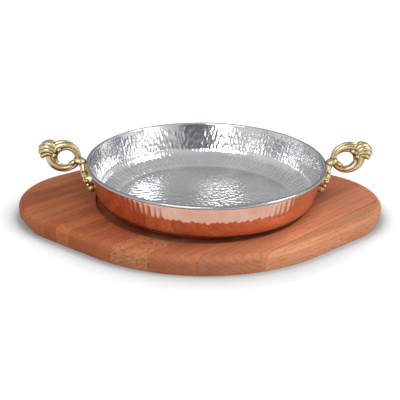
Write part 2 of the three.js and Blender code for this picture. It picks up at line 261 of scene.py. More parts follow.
# How much the depths of two blows differ at most, and how far the middle of a blow lies under the
# plain face outside, or stands over it inside and on the floor
UNEVEN = 0.035
SIDE_OFFSET = 0.12
FLOOR_OFFSET = 0.1
# The distance over which marks fade, or pass into others to either side
BLEND = 2
# The line where the floor begins: how far inside the floor's edge it lies, how deep and how wide
# it is, and the width of the plain band that holds it
FLOOR_LINE, FLOOR_LINE_DEPTH, FLOOR_LINE_WIDTH = 1.9, 0.3, 0.6
FLOOR_LINE_BAND = 5


def blow_row(rng, count, tilt, stray, lead):
    """One row of blows: how many, how far each is off its even place round the pan and along the
    profile, its slopes and its depth. The row's lead is a share of the spacing, drawn if None."""
    strays = rng.uniform(-3 * stray, 3 * stray, count)
    leads = strays + (rng.uniform(0, 1) if lead is None else lead)
    jumps = rng.uniform(-stray, stray, count)
    slopes = rng.uniform(-tilt, tilt, (count, 2))
    return count, leads, jumps, slopes, rng.uniform(0, UNEVEN, count)


def blows(
    along, turn, radius, row_step, across, curve_across, curve_along, seed, tilt, stray, even=False
):
    """Height over the bottoms of the blows, at points given by their place along the profile,
    their turn round the pan and their radius. Even rows have equal counts, and each blow stands
    between two of the next row. The last radius across holds for all rows above its own."""
    rng = np.random.default_rng(seed)
    rows = int(np.ceil(along.max() / row_step)) + 2
    table = []
    for k in range(rows + 1):
        row_radius = radius.mean() if even else np.interp((k - 0.5) * row_step, along, radius)
        count = max(5, int(round(TAU * row_radius / across)))
        table.append(blow_row(rng, count, tilt, stray, k % 2 / 2 if even else None))
    low = np.full((len(along), len(turn)), 1e9)
    base = np.floor(along / row_step).astype(int)
    for shift in (0, 1, 2):
        for i, (s, r) in enumerate(zip(along, radius)):
            k = min(base[i] + shift, rows)
            count, leads, jumps, slopes, depths = table[k]
            bend = curve_across[min(k, len(curve_across) - 1)]
            cell = np.floor(turn / TAU * count).astype(int)
            for step in (-2, -1, 0, 1, 2):
                c = (cell + step) % count
                middle = (cell + step + 0.5 + leads[c] - np.floor(leads.mean())) / count
                du = ((turn / TAU - middle + 0.5) % 1 - 0.5) * TAU * max(r, 1.0)
                dv = s - (k - 0.5 + jumps[c]) * row_step
                height = du**2 / (2 * bend) + dv**2 / (2 * curve_along)
                height = height + slopes[c, 0] * du + slopes[c, 1] * dv + depths[c]
                low[i] = np.minimum(low[i], height)
    return low


def outer_marks(line, turn):
    """Two rows of long blows up the wall, and shorter ones on the cove. They fade at both ends."""
    along = path_length(line)
    foot = along[int(np.argmin(abs(line[:, 1] - FOOT_HEIGHT)))]
    wall = blows(along - foot, turn, line[:, 0], **OUTER_WALL)
    cove = blows(along, turn, line[:, 0], **OUTER_COVE)
    mix = fade(along, foot - BLEND, foot + BLEND)[:, None]
    ends = (fade(along, 0, BLEND) * (1 - fade(along, along[-1] - 5, along[-1] - 1)))[:, None]
    return (wall * mix + cove * (1 - mix) - SIDE_OFFSET) * ends


def inner_marks(line, turn):
    """Small blows down the wall, and broad ones round the cove. They fade at both ends."""
    along = path_length(line)
    foot = along[int(np.argmin(abs(line[:, 1] - FOOT_HEIGHT)))]
    wall = blows(along, turn, line[:, 0], **INNER_WALL)
    cove = blows(np.abs(along - foot), turn, line[:, 0], **INNER_COVE)
    mix = fade(along, foot - BLEND, foot + BLEND)[:, None]
    ends = (fade(along, 1, 5) * (1 - fade(along, along[-1] - 1.6, along[-1])))[:, None]
    return -(wall * (1 - mix) + cove * mix - SIDE_OFFSET) * ends


def floor_marks(line, turn):
    """Short blows in rings over the floor, inside the sharp line where the floor begins."""
    radius = line[:, 0]
    lift = blows(radius[::-1], turn, radius[::-1], **PAN_FLOOR)[::-1]
    band = FLOOR_RADIUS - FLOOR_LINE_BAND
    inside = 1 - fade(radius, band, band + BLEND)
    line_place = (radius - FLOOR_RADIUS + FLOOR_LINE) / FLOOR_LINE_WIDTH
    groove = FLOOR_LINE_DEPTH * np.exp(-(line_place**2))
    return -(lift - FLOOR_OFFSET) * inside[:, None] - groove[:, None]


# Pan

COLUMNS = 1200
COPPER_SKIN, TIN_SKIN = 0, 1
# How far apart the rings are outside, inside, on the floor and in the band at its edge
OUTER_STEP, INNER_STEP, FLOOR_STEP, BAND_STEP = 1.0, 0.9, 1.0, 0.35
BOTTOM_RINGS = 14
# Where the roll of the rim leaves the wall, and where its hidden edge ends
ROLL_START = math.pi - TILT
ROLL_END = math.radians(-100)
# The rim's uneven edge: the height and number of its waves, and how much and where they bunch
RIM_WAVE, RIM_WAVES = 0.05, 41
RIM_BUNCHING, RIM_BUNCHES = 1.3, 7


def side_line(inward):
    """The sheet's outline from the floor ring up to the roll, moved inward by a distance."""
    edge = np.array([FLOOR_RADIUS, 0.0])
    corner = np.array([FOOT_RADIUS, FOOT_HEIGHT])
    top = np.array([wall_radius(ROLL_Z), ROLL_Z])
    p0, p2 = (corner + (q - corner) / np.linalg.norm(q - corner) * FOOT_ROUND for q in (edge, top))
    t = np.linspace(0, 1, 12)[:, None]
    bend = (1 - t) ** 2 * p0 + 2 * t * (1 - t) * corner + t**2 * p2
    cove = edge + (p0 - edge) * np.linspace(0, 1, 12)[:-1, None]
    wall = p2 + (top - p2) * np.linspace(0, 1, 8)[1:, None]
    line = np.vstack([cove, bend, wall])
    run = directions(line)
    moved = line - np.stack([run[:, 1], -run[:, 0]], -1) * inward
    moved[0] = [FLOOR_RADIUS - inward * 0.2, inward]
    return moved


def roll_line(angles, radius):
    return np.stack([ROLL_X + radius * np.cos(angles), ROLL_Z + radius * np.sin(angles)], -1)


def pan_mesh():
    """The pan's skin as rings of points: bottom, outside, rim, inside and floor."""
    turn = np.linspace(0, TAU, COLUMNS, endpoint=False)
    rings, skins = [], []

    def add(line, heights, outward, skin):
        """Rings along a profile line, pushed along its normal by the hammer marks."""
        run = directions(line)
        normal = np.stack([run[:, 1], -run[:, 0]], -1) * outward
        radius = np.maximum(line[:, :1] + normal[:, :1] * heights, 0.02)
        height = line[:, 1:] + normal[:, 1:] * heights + 0 * turn
        rings.append(np.stack([radius * np.cos(turn), radius * np.sin(turn), height], -1))
        skins.extend([skin] * len(line))

    bottom = np.linspace(0.5, FLOOR_RADIUS - 1.5, BOTTOM_RINGS)
    add(np.stack([bottom, 0 * bottom], -1), 0, 1, COPPER_SKIN)
    outer = resample(side_line(0), OUTER_STEP)
    add(outer, outer_marks(outer, turn), 1, COPPER_SKIN)
    inner_arc = np.linspace(ROLL_START, ROLL_END, 12)[1:]
    outer_arc = np.linspace(ROLL_END, ROLL_START, 30)[:-1]
    wave = RIM_WAVE * np.sin(turn * RIM_WAVES + RIM_BUNCHING * np.sin(turn * RIM_BUNCHES))
    add(roll_line(inner_arc, ROLL - SHEET), 0, 1, TIN_SKIN)
    add(roll_line(outer_arc, ROLL), -wave[None], -1, TIN_SKIN)
    inner = resample(side_line(SHEET), INNER_STEP)[::-1]
    add(inner, inner_marks(inner, turn), 1, TIN_SKIN)
    band = FLOOR_RADIUS - FLOOR_LINE_BAND
    fine = np.arange(FLOOR_RADIUS - 0.7, band, -BAND_STEP)
    radii = np.concatenate([fine, np.arange(band, 0.6, -FLOOR_STEP)])
    floor_line = np.stack([radii, np.full(len(radii), SHEET)], -1)
    add(floor_line, floor_marks(floor_line, turn), 1, TIN_SKIN)

    rings = np.concatenate(rings)
    last = (len(rings) - 1) * COLUMNS
    faces = grid_faces(len(rings), COLUMNS)
    faces.append(list(range(COLUMNS)))
    faces.append(list(range(last, last + COLUMNS))[::-1])
    face_skins = [*np.repeat(skins[1:], COLUMNS), skins[0], skins[-1]]
    return (rings.reshape(-1, 3) + PAN_PLACE, faces), face_skins


# Handle, built pointing along +X from the pan's axis, in millimetres

LOOP = np.array([ROLL_X + 23.3, ROLL_Z + 2.9])
LOOP_HALF = np.array([13.3, 12.1])
# The strand of the loop: its widths, how it thins toward the pan and thickens upward, its flutes,
# how far they wind, how deep they are and how sharp
STRAND = np.array([10.0, 12.4])
TAPER, CROWN = 0.47, 0.13
FLUTES, FLUTE_WIND, FLUTE_DEPTH, FLUTE_EDGE = 5, 0.6, 0.2, 0.7
# The knot: the half sizes of its core, the cord's half width, how far its turns reach out and
# sideways, how much they saddle, how far apart they are, how they fan out, and how much smaller
# the outer turns are. Then the knot's tilt and its place off the loop's middle
KNOT_CORE = (8.75, 4.8, 6.6)
CORD, CORD_REACH, CORD_SIDE, CORD_SADDLE = 2.5, 10.25, 6.3, 2.2
CORD_STEP, CORD_FAN, CORD_SHRINK = 2, math.radians(8), 0.12
CORD_TURNS = (-1.5, -0.5, 0.5, 1.5)
KNOT_TILT = math.radians(14)
KNOT_REACH, KNOT_RISE = 6, 5.3
# Bow and leaf: half sizes, tilt, and place off the loop's middle, outward and up
BOW = ((7.25, 5.5, 4.2), math.radians(25), -15.2, -4.4)
LEAF = ((5.5, 3, 2.5), math.radians(-30), -7.4, -6.2)
# The two pairs of scrolls: place off the loop's middle, outward and up, how far to each side, and
# half size
SCROLLS = ((4.5, 9), (9.8, 3.2))
SCROLL_SIDE, SCROLL_HALF = 5, 2.2
RIVET_SPREAD, RIVET_HEIGHT = 15.0, 28.5
# The legs at five places: how far sideways and up as shares of the rivet's place, how far off the
# wall, and how thick. Then half their thickness, the depth of their flutes, and the half sizes of
# their rounded ends
LEG_SIDEWAYS = [0, 0.42, 0.8, 1.02, 1.08]
LEG_HEIGHTS = [1.43, 1.1, 1.08, 0.88, 0.67]
LEG_REACHES = [6.84, 7.2, 6.19, 4.46, 3.74]
LEG_SWELLS = [1.1, 0.95, 1, 0.95, 0.9]
LEG_HALF, LEG_FLUTE = 3.5, 0.08
LEG_END = (3.5, 3.5, 4.75)
# The round feet: radius and height off the wall, and their ring of beads
FOOT = [(6.4, -0.2), (6.2, 3.0), (5.8, 5.8), (4.6, 6.6), (0.4, 6.6)]
BEADS, BEAD_RING, BEAD_HEIGHT, BEAD_HALF = 7, 6, 5.5, 1.7
# The size of the smallest forms in the casting's skin
VOXEL = 0.34
# How a hollow is written: the value of a flat face, the depth that adds one to it, and how many
# times each point is averaged with its neighbours to find that depth
FLAT_HOLLOW, HOLLOW_DEPTH, HOLLOW_ROUNDS = 0.3, 0.3, 14


def loop_ring():
    steps, around = 220, 90
    angle = np.linspace(0, TAU, steps, endpoint=False)
    flat = 0 * angle
    x = LOOP[0] + LOOP_HALF[0] * np.cos(angle)
    z = LOOP[1] + LOOP_HALF[1] * np.sin(angle)
    outs = np.array([np.cos(angle) / LOOP_HALF[0], flat, np.sin(angle) / LOOP_HALF[1]])
    outs = (outs / np.linalg.norm(outs, axis=0)).T
    phi = np.linspace(0, TAU, around, endpoint=False)[None]
    turn = (angle[:, None] + math.pi) % TAU - math.pi
    taper = 1 - TAPER / 2 * (1 - np.cos(turn)) + CROWN * np.sin(turn)
    groove = np.abs(np.sin(FLUTES / 2 * (phi - FLUTE_WIND * turn))) ** FLUTE_EDGE
    swell = taper * (1 - FLUTE_DEPTH * (1 - groove))
    section = np.stack(
        [STRAND[0] / 2 * swell * np.cos(phi), STRAND[1] / 2 * swell * np.sin(phi)], -1
    )
    sides = np.tile([0.0, 1.0, 0.0], (steps, 1))
    return swept(np.stack([x, flat, z], -1), sides, outs, section, closed=True)


def on_loop(part, tilt, reach, rise):
    """Tilts a shape made about the origin and moves it off the loop's middle."""
    place = Matrix.Translation((LOOP[0] + reach, 0, LOOP[1] + rise))
    return placed(part, place @ Matrix.Rotation(-tilt, 4, "Y"))


def on_knot(part, step, out):
    """Places a part of the knot so many turns up from the fan's middle and so far out."""
    tilt = KNOT_TILT + step * CORD_FAN
    reach = KNOT_REACH - step * CORD_STEP * math.sin(KNOT_TILT) + out * math.cos(tilt)
    rise = KNOT_RISE + step * CORD_STEP * math.cos(KNOT_TILT) + out * math.sin(tilt)
    return on_loop(part, tilt, reach, rise)


def knot():
    """Turns of a cord that lie side by side round one long body."""
    parts = [on_knot(ball((0, 0, 0), KNOT_CORE, 48), 0, CORD_REACH)]
    t = np.linspace(0, TAU, 96, endpoint=False)
    for step in CORD_TURNS:
        size = 1 - CORD_SHRINK * (step / CORD_TURNS[-1]) ** 2
        a, b = (CORD_REACH * size - CORD), (CORD_SIDE * size - CORD)
        rise, slope = -CORD_SADDLE * np.cos(2 * t), 2 * CORD_SADDLE * np.sin(2 * t)
        centres = np.stack([a * np.cos(t), b * np.sin(t), rise], -1)
        run = np.stack([-a * np.sin(t), b * np.cos(t), slope], -1)
        run /= np.linalg.norm(run, axis=1)[:, None]
        axis = np.array([0.0, 0.0, 1.0]) - run * run[:, 2:]
        axis /= np.linalg.norm(axis, axis=1)[:, None]
        section = circle(CORD, 24, len(t))
        ring = swept(centres, axis, np.cross(run, axis), section, closed=True)
        parts.append(on_knot(ring, step, CORD_REACH * size))
    return join(parts)


def off_wall(sideways, height, reach):
    bearing = sideways / wall_radius(height)
    radius = wall_radius(height) + reach
    return np.array([radius * math.cos(bearing), radius * math.sin(bearing), height])


def wall_matrix(sideways, height):
    """Places a shape made about +Z, with the wall at zero, on the wall's outer face."""
    radius = wall_radius(height)
    bearing = math.asin(sideways / radius)
    return (
        Matrix.Rotation(bearing, 4, "Z")
        @ Matrix.Translation((radius, 0, height))
        @ Matrix.Rotation(math.pi / 2 + TILT, 4, "Y")
    )


def smooth_line(points, count):
    """A smooth line that passes through all the points."""
    p = np.vstack([2 * points[0] - points[1], points, 2 * points[-1] - points[-2]])
    line = []
    for u in np.linspace(0, len(points) - 1 - 1e-9, count):
        i = int(u)
        t = u - i
        a, b, c, d = p[i : i + 4]
        square, cube = 2 * a - 5 * b + 4 * c - d, 3 * b - a - 3 * c + d
        line.append(0.5 * (2 * b + (c - a) * t + square * t**2 + cube * t**3))
    return np.array(line)


def leg(face):
    """One leg from the bow to a foot, with a rounded end. The face is -1 or 1."""
    places = zip(LEG_SIDEWAYS, LEG_HEIGHTS, LEG_REACHES)
    points = [off_wall(face * s * RIVET_SPREAD, h * RIVET_HEIGHT, r) for s, h, r in places]
    steps = 60
    line = smooth_line(np.array(points), steps)
    run = directions(line)
    side = np.cross(run, [1.0, 0.0, 0.2])
    side /= np.linalg.norm(side, axis=1)[:, None]
    swell = np.interp(np.linspace(0, 4, steps), range(5), LEG_SWELLS)
    phi = np.linspace(0, TAU, 40, endpoint=False)
    flute = 1 - LEG_FLUTE * (1 - np.abs(np.sin(FLUTES / 2 * phi))) ** 2
    section = np.stack([np.cos(phi) * flute, np.sin(phi) * flute], -1)[None]
    body = swept(line, side, np.cross(side, run), section * LEG_HALF * swell[:, None, None])
    return join([body, ball(points[-1], LEG_END)])


def beaded_foot(face):
    parts = [lathe(FOOT, 48)]
    for i in range(BEADS):
        a = TAU * i / BEADS
        middle = (BEAD_RING * math.cos(a), BEAD_RING * math.sin(a), BEAD_HEIGHT)
        parts.append(ball(middle, (BEAD_HALF, BEAD_HALF, BEAD_HALF), 20))
    return placed(join(parts), wall_matrix(face * RIVET_SPREAD, RIVET_HEIGHT))


def handle_mesh():
    parts = [loop_ring(), knot()]
    for halves, tilt, reach, rise in (BOW, LEAF):
        parts.append(on_loop(ball((0, 0, 0), halves), tilt, reach, rise))
    for reach, rise in SCROLLS:
        for face in (-1, 1):
            scroll = ball((0, face * SCROLL_SIDE, 0), (SCROLL_HALF, SCROLL_HALF, SCROLL_HALF), 20)
            parts.append(on_loop(scroll, 0, reach, rise))
    for face in (-1, 1):
        parts.extend([leg(face), beaded_foot(face)])
    return join(parts)


def cast(obj):
    """Melts overlapping solids into one skin, as a casting is, and softens it a little."""
    remesh = obj.modifiers.new("skin", "REMESH")
    remesh.mode = "VOXEL"
    remesh.voxel_size = VOXEL * MM
    soften = obj.modifiers.new("soften", "SMOOTH")
    soften.factor = 0.5
    soften.iterations = 3
    graph = bpy.context.evaluated_depsgraph_get()
    made = bpy.data.meshes.new_from_object(obj.evaluated_get(graph))
    obj.modifiers.clear()
    materials = list(obj.data.materials)
    obj.data = made
    made.materials.clear()
    for material in materials:
        made.materials.append(material)
    made.polygons.foreach_set("use_smooth", np.ones(len(made.polygons), bool))
    shade_hollows(made)


def shade_hollows(mesh):
    """Writes how deep each point lies in a groove, for the patina: how far it lies under the mean
    of the points round it."""
    count = len(mesh.vertices)
    co = np.zeros(count * 3)
    no = np.zeros(count * 3)
    mesh.vertices.foreach_get("co", co)
    mesh.vertices.foreach_get("normal", no)
    co, no = co.reshape(-1, 3), no.reshape(-1, 3)
    edges = np.zeros(len(mesh.edges) * 2, int)
    mesh.edges.foreach_get("vertices", edges)
    a, b = edges.reshape(-1, 2).T
    degree = np.bincount(np.r_[a, b], minlength=count)[:, None]
    spread = co.copy()
    for _ in range(HOLLOW_ROUNDS):
        total = np.zeros_like(co)
        np.add.at(total, a, spread[b])
        np.add.at(total, b, spread[a])
        spread = total / degree
    depth = ((spread - co) * no).sum(1) / MM
    hollow = np.clip(depth / HOLLOW_DEPTH + FLAT_HOLLOW, 0, 1).astype(np.float32)
    mesh.attributes.new("hollow", "FLOAT", "POINT").data.foreach_set("value", hollow)


# Rivets

# Where a rivet's heads sit, off the wall's outer face: on the foot, and inside the pan
RIVET_SEAT = 7.2
RIVET_INSIDE = -SHEET - GAP
RIVET_STEPS = 36
# How many rows of quads the head inside the pan has
INNER_HEAD_ROWS = 4


def rivet_mesh(face):
    seat, inside = RIVET_SEAT, RIVET_INSIDE
    profile = [(0.02, inside - 0.8), (3.4, inside - 0.8), (4.5, inside - 0.55), (5, inside)]
    profile += [(1.8, inside), (1.8, seat), (3.1, seat), (3.1, seat + 0.5), (2.9, seat + 1.0)]
    profile += [(2.3, seat + 1.5), (1.3, seat + 1.83), (0.02, seat + 1.9)]
    rng = np.random.default_rng(5 + face)
    phi = np.linspace(0, TAU, RIVET_STEPS, endpoint=False)
    rings = []
    for radius, _ in profile:
        uneven = 1 + 0.02 * np.sin(3 * phi + rng.uniform(0, TAU))
        rings.append(np.stack([radius * np.cos(phi) * uneven, radius * np.sin(phi) * uneven], -1))
    part = stacked([height for _, height in profile], np.array(rings))
    # The head inside the pan is tinned like the pan: its rows of quads and its fan
    skins = np.full(len(part[1]), COPPER_SKIN)
    fan = (len(profile) - 1) * RIVET_STEPS
    skins[: INNER_HEAD_ROWS * RIVET_STEPS] = TIN_SKIN
    skins[fan : fan + RIVET_STEPS] = TIN_SKIN
    return placed(part, wall_matrix(face * RIVET_SPREAD, RIVET_HEIGHT)), skins


# Board

TIP_X = BOARD_LENGTH / 2 - TIP_RADIUS
SIDE_Y = BOARD_WIDTH / 2 - SIDE_RADIUS
# The bearing at which the arc of a tip meets the arcs of the long sides
RUN = math.atan2(-SIDE_Y, TIP_X) + math.acos(
    (SIDE_RADIUS - TIP_RADIUS) / math.hypot(TIP_X, SIDE_Y)
)
# How far past the board's edge the cuts between the staves may run
PAST_EDGE = 9


def outline(inset):
    """The board's oval, moved inward."""
    tip = np.linspace(-RUN, RUN, 44)
    side = np.linspace(RUN, math.pi - RUN, 48)
    tip_radius, side_radius = TIP_RADIUS - inset, SIDE_RADIUS - inset
    tip = np.stack([TIP_X + tip_radius * np.cos(tip), tip_radius * np.sin(tip)], -1)
    side = np.stack([side_radius * np.cos(side), SIDE_Y + side_radius * np.sin(side)], -1)
    return np.vstack([tip, side, -tip, -side])


def board_blank():
    levels = [(FOOT_EDGE + 0.6, 0), (FOOT_EDGE, 0), (0.45, 0.45), (0, FOOT_EDGE)]
    levels += [
        (TOP_ROUND * (1 - math.cos(a)), BOARD_THICK - TOP_ROUND * (1 - math.sin(a)))
        for a in np.linspace(0, math.pi / 2, 11)
    ]
    levels += [(TOP_ROUND + 0.6, BOARD_THICK)]
    count = len(outline(0))
    rings = [np.c_[outline(inset), np.full(count, height)] for inset, height in levels]
    faces = grid_faces(len(levels), count)
    last = (len(levels) - 1) * count
    faces.append(list(range(count))[::-1])
    faces.append(list(range(last, last + count)))
    return np.concatenate(rings), faces


def board_cuts():
    """The round recess and the finger coves under the two tips."""
    floor_height = BOARD_THICK - RECESS_DEPTH
    recess = [(0.5, floor_height), (RECESS_RADIUS - 1, floor_height)]
    recess += [(RECESS_RADIUS - 0.3, floor_height + 0.3), (RECESS_RADIUS, floor_height + 1)]
    recess += [(RECESS_RADIUS, BOARD_THICK - RECESS_LIP)]
    recess += [(RECESS_RADIUS + 0.3, BOARD_THICK - 0.3), (RECESS_RADIUS + RECESS_LIP, BOARD_THICK)]
    recess += [(RECESS_RADIUS + RECESS_LIP, BOARD_THICK + 2), (0.5, BOARD_THICK + 2)]
    cuts = [lathe(recess, 160)]
    radius = (COVE_REACH**2 + COVE_RISE**2) / (2 * COVE_RISE)
    for end in (-1, 1):
        middle = np.array([end * BOARD_LENGTH / 2, 0, COVE_RISE - radius])
        centres = np.array([middle + [0, -150, 0], middle + [0, 150, 0]])
        sides, ups = np.tile([1.0, 0, 0], (2, 1)), np.tile([0, 0, 1.0], (2, 1))
        cuts.append(swept(centres, sides, ups, circle(radius, 120, 2)))
    return cuts


def raw_solid(name, part):
    obj = new_object(name, *part)
    bm = bmesh.new()
    bm.from_mesh(obj.data)
    bmesh.ops.recalc_face_normals(bm, faces=bm.faces)
    bm.to_mesh(obj.data)
    bm.free()
    return obj


def carve(obj, cutter):
    tool = obj.modifiers.new("carve", "BOOLEAN")
    tool.operation = "DIFFERENCE"
    tool.solver = "EXACT"
    tool.object = cutter
    graph = bpy.context.evaluated_depsgraph_get()
    made = bpy.data.meshes.new_from_object(obj.evaluated_get(graph))
    obj.modifiers.clear()
    obj.data = made
    bpy.data.objects.remove(cutter)


def slice_between(mesh, name, across, start, end):
    """A closed copy of the part of a mesh between two places along a direction."""
    bm = bmesh.new()
    bm.from_mesh(mesh)
    for place, way in ((start, -1), (end, 1)):
        cut = bmesh.ops.bisect_plane(
            bm,
            geom=bm.verts[:] + bm.edges[:] + bm.faces[:],
            plane_co=across * place * MM,
            plane_no=across * way,
            clear_outer=True,
            dist=1e-7,
        )
        rim = [e for e in cut["geom_cut"] if isinstance(e, bmesh.types.BMEdge)]
        if rim:
            bmesh.ops.edgenet_fill(bm, edges=rim)
    made = bpy.data.meshes.new(name)
    bm.to_mesh(made)
    bm.free()
    return made


def board_pieces():
    """The board is cut from one blank and then into its staves, with thin gaps for the glue."""
    blank = raw_solid("board_blank", board_blank())
    for cut in board_cuts():
        carve(blank, raw_solid("cutter", cut))
    half_width = TIP_X * math.sin(GRAIN) + TIP_RADIUS
    beyond = half_width + PAST_EDGE
    seams = [seam * half_width for seam in SEAMS]
    starts = [-beyond] + [seam + GAP / 2 for seam in seams]
    ends = [seam - GAP / 2 for seam in seams] + [beyond]
    across = Vector((-math.sin(GRAIN), math.cos(GRAIN), 0))
    for i, (start, end) in enumerate(zip(starts, ends)):
        name = f"stave_{i + 1}"
        mesh = slice_between(blank.data, name, across, start, end)
        obj = bpy.data.objects.new(name, mesh)
        bpy.context.scene.collection.objects.link(obj)
        mesh.materials.clear()
        mesh.materials.append(wood(f"wood_{i + 1}", i, *STAVES[i][1:]))
        smooth(obj)
        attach(obj, "board")
        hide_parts(f"board_stave_{i + 1}")
    bpy.data.objects.remove(blank)


# Materials


class Nodes:
    """A node tree whose nodes are made one by one and linked as they are made."""

    def __init__(self, tree):
        self.tree = tree
        self.tree.nodes.clear()

    def make(self, kind, values=(), **inputs):
        node = self.tree.nodes.new("ShaderNode" + kind)
        for key, value in dict(values).items():
            setattr(node, key, value)
        for key, value in inputs.items():
            self.put(node.inputs[key.replace("_", " ")], value)
        return node

    def put(self, socket, value):
        if isinstance(value, bpy.types.NodeSocket):
            self.tree.links.new(value, socket)
        else:
            socket.default_value = value

    def place(self, turn=0.0, scale=(1, 1, 1), shift=(0, 0, 0)):
        """Places in metres in the part's frame, moved, turned about Z and stretched."""
        coords = self.make("TexCoord").outputs["Object"]
        spun = self.make("Mapping", Vector=coords, Rotation=(0, 0, turn), Location=shift)
        return self.make("Mapping", Vector=spun.outputs[0], Scale=scale).outputs[0]

    def radius(self, split):
        """The distance from the Z axis of a place that is split into its parts."""
        flat = self.make("CombineXYZ", X=split.outputs[0], Y=split.outputs[1]).outputs[0]
        return self.make("VectorMath", {"operation": "LENGTH"}, Vector=flat).outputs["Value"]

    def noise(self, vector, scale, detail=4.0, rough=0.5):
        node = self.make("TexNoise", Vector=vector, Scale=scale, Detail=detail, Roughness=rough)
        return node.outputs[0]

    def ramp(self, factor, *stops):
        node = self.make("ValToRGB", Fac=factor)
        elements = node.color_ramp.elements
        while len(elements) < len(stops):
            elements.new(0.5)
        for element, (at, colour) in zip(elements, stops):
            element.position = at
            element.color = (*colour, 1) if hasattr(colour, "__len__") else (colour,) * 3 + (1,)
        return node.outputs[0]

    def mix(self, factor, a, b, how="MIX"):
        node = self.make("Mix", {"data_type": "RGBA", "blend_type": how})
        self.put(node.inputs[0], factor)
        self.put(node.inputs[6], a)
        self.put(node.inputs[7], b)
        return node.outputs[2]

    def math(self, how, a, b=0.0):
        node = self.make("Math", {"operation": how})
        self.put(node.inputs[0], a)
        self.put(node.inputs[1], b)
        return node.outputs[0]


class Surface(Nodes):
    """A material with one principled shader."""

    def __init__(self, name):
        self.material = bpy.data.materials.new(name)
        self.material.use_nodes = True
        super().__init__(self.material.node_tree)
        self.shader = self.make("BsdfPrincipled")
        out = self.make("OutputMaterial")
        self.tree.links.new(self.shader.outputs[0], out.inputs[0])

    def bump(self, height, strength, distance):
        node = self.make("Bump", Height=height, Strength=strength, Distance=distance)
        self.put(self.shader.inputs["Normal"], node.outputs[0])

    def set(self, **inputs):
        for key, value in inputs.items():
            self.put(self.shader.inputs[key.replace("_", " ")], value)
        return self.material


# How far in from the rim's edge the roll's duller tin begins, and its colour and roughness
ROLL_BAND = 2.6
ROLL_COLOUR = (0.45, 0.44, 0.45, 1)
ROLL_DULL = (0.24, 0.24, 0.24, 1)
PATINA = (0.15, 0.1, 0.04, 1)


def copper():
    n = Surface("copper_outside")
    place = n.place()
    cloud = n.noise(place, 45, 4)
    colour = n.ramp(cloud, (0.32, (0.8, 0.44, 0.31)), (0.68, (0.87, 0.55, 0.45)))
    dull = n.ramp(n.noise(place, 160, 5), (0.35, 0.07), (0.75, 0.17))
    n.bump(n.noise(place, 900, 3), 0.05, 0.0004)
    return n.set(Base_Color=colour, Metallic=1.0, Roughness=dull)


def tin():
    """Bright tin inside, and darker, duller tin on the rolled rim."""
    n = Surface("tin_inside")
    place = n.place()
    cloud = n.noise(place, 34, 4)
    colour = n.ramp(cloud, (0.3, (0.66, 0.67, 0.7)), (0.7, (0.82, 0.82, 0.82)))
    dull = n.ramp(n.noise(place, 300, 5), (0.3, 0.07), (0.75, 0.2))
    from_pan = n.place(shift=(-PAN_X * MM, 0, 0))
    radius = n.radius(n.make("SeparateXYZ", Vector=from_pan))
    rolled = n.math("GREATER_THAN", radius, (RIM_RADIUS - ROLL_BAND) * MM)
    colour = n.mix(rolled, colour, ROLL_COLOUR)
    dull = n.mix(rolled, dull, ROLL_DULL)
    n.bump(n.noise(place, 1300, 3), 0.08, 0.0004)
    return n.set(Base_Color=colour, Metallic=1.0, Roughness=dull)


def brass():
    n = Surface("cast_brass")
    place = n.place()
    hollow = n.make("Attribute", {"attribute_name": "hollow"}).outputs["Fac"]
    cloud = n.noise(place, 260, 4)
    bright = n.ramp(cloud, (0.3, (0.56, 0.46, 0.24)), (0.7, (0.72, 0.62, 0.38)))
    colour = n.mix(n.ramp(hollow, (FLAT_HOLLOW, 0.0), (0.62, 0.95)), bright, PATINA)
    dull = n.ramp(n.noise(place, 700, 4), (0.3, 0.24), (0.75, 0.4))
    n.bump(n.noise(place, 1500, 4), 0.18, 0.0004)
    return n.set(Base_Color=colour, Metallic=1.0, Roughness=dull)


def srgb(values):
    return [((v / 255 + 0.055) / 1.055) ** 2.4 for v in values]


# How far from the board's middle the staves are at their darkest, in millimetres, and what is
# left of their tone at the back right ends
END_DARKENING_REACH = 90.0
FAR_END_TONE = 0.82
# How much painted shade is laid on the recess, and what is left of a stave's darker tone in that
# painted shade and in a pore
RECESS_SHADE = 0.42
RECESS_TONE, PORE_TONE = 0.3, 0.35
# For each stave: its slot, its darker and lighter tone, where its rings' axis lies and how far
# apart they are in millimetres, how strong its pores are, and what is left of its tone under
# painted shade at the front left end
STAVES = [
    ("pale_wood", (182, 118, 82), (204, 143, 106), (-150, 20, 4.2), 0.5, 1.0),
    ("dark_wood", (196, 118, 82), (216, 144, 107), (-40, 60, 3.4), 0.5, 0.58),
    ("red_wood", (186, 107, 72), (206, 131, 92), (-10, 90, 3.8), 0.45, 0.7),
    ("red_wood", (168, 102, 67), (198, 134, 95), (-60, 30, 4.6), 1.0, 1.0),
    ("dark_wood", (160, 86, 52), (178, 104, 66), (20, 50, 2.8), 0.7, 1.0),
    ("red_wood", (172, 94, 54), (190, 114, 70), (40, 45, 3.4), 0.6, 1.0),
    ("dark_wood", (159, 83, 49), (177, 100, 62), (60, 50, 2.8), 0.6, 0.95),
    ("red_wood", (168, 96, 59), (186, 114, 73), (40, 80, 4.0), 0.6, 0.92),
    ("dark_wood", (148, 82, 50), (166, 98, 62), (110, 50, 3.2), 0.6, 1.0),
    ("red_wood", (164, 94, 60), (184, 114, 76), (160, 40, 3.6), 0.5, 1.0),
]


